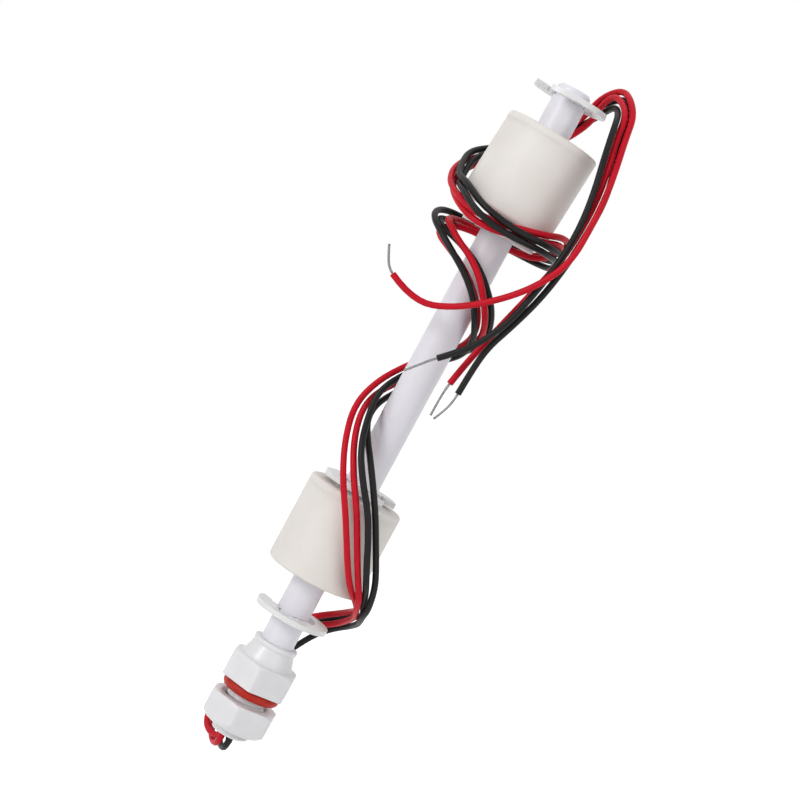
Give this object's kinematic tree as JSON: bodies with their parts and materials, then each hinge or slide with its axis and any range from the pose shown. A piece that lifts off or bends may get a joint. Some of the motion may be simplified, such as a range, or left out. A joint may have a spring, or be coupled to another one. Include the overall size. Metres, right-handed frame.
{
  "type": "dual float level switch",
  "caption": "Liquid level switch: threaded plastic fitting with nut and seal ring, a closed stem carrying two sliding floats between clips, and loose stripped leads.",
  "frame": {"origin": "on the stem's axis, on the flange's sealing face above the threaded shank", "axes": "+Z along the stem towards its closed tip, -Y towards the front, +X to the right"},
  "size_m": [0.0379, 0.0335, 0.1756],
  "materials": {
    "fitting_plastic": "slightly translucent moulded polypropylene",
    "stem_plastic": "satin white polypropylene",
    "float_plastic": "warm white, finely mottled",
    "clip_plastic": "smooth light grey-white",
    "potting_resin": "cast resin",
    "seal_silicone": "smooth orange-red silicone rubber",
    "red_insulation": "satin red",
    "black_insulation": "satin black",
    "tinned_copper": "twisted tinned strands",
    "magnet_ferrite": "sintered ferrite",
    "reed_glass": "clear",
    "reed_metal": "plated spring alloy",
    "sleeve_plastic": "shrink sleeve"
  },
  "bodies": {
    "switch_body": {"fitting_body": "fitting_plastic", "stem_tube": "stem_plastic", "potting": "potting_resin", "o_ring": "seal_silicone", "lower_stop_clip": "clip_plastic", "lower_keeper_clip": "clip_plastic", "upper_stop_clip": "clip_plastic", "upper_keeper_clip": "clip_plastic", "lower_reed_glass": "reed_glass", "lower_reed_leaf_bottom": "reed_metal", "lower_reed_leaf_top": "reed_metal", "lower_reed_sleeve_bottom": "sleeve_plastic", "lower_reed_sleeve_top": "sleeve_plastic", "upper_reed_glass": "reed_glass", "upper_reed_leaf_bottom": "reed_metal", "upper_reed_leaf_top": "reed_metal", "upper_reed_sleeve_bottom": "sleeve_plastic", "upper_reed_sleeve_top": "sleeve_plastic", "inner_lead_black_1": "black_insulation", "inner_lead_black_2": "black_insulation", "inner_lead_red_1": "red_insulation", "inner_lead_red_2": "red_insulation", "wire_red_1": "red_insulation", "wire_red_2": "red_insulation", "wire_black_1": "black_insulation", "wire_black_2": "black_insulation", "wire_tip_red_1": "tinned_copper", "wire_tip_red_2": "tinned_copper", "wire_tip_black_1": "tinned_copper", "wire_tip_black_2": "tinned_copper"},
    "lower_float": {"lower_float_shell": "float_plastic", "lower_float_cap": "float_plastic", "lower_float_magnet": "magnet_ferrite"},
    "upper_float": {"upper_float_shell": "float_plastic", "upper_float_cap": "float_plastic", "upper_float_magnet": "magnet_ferrite"},
    "clamp_nut": {"clamp_nut": "fitting_plastic"}
  },
  "joints": [
    {"name": "lower_float_slide", "type": "slide", "parent": "switch_body", "child": "lower_float", "axis": [0, 0, 1], "range_m": [-0.00935, 0.00085]},
    {"name": "upper_float_slide", "type": "slide", "parent": "switch_body", "child": "upper_float", "axis": [0, 0, 1], "range_m": [-0.0023, 0.0074]},
    {"name": "clamp_nut_slide", "type": "slide", "parent": "switch_body", "child": "clamp_nut", "axis": [0, 0, 1], "range_m": [-0.002, 0.00145]}
  ]
}
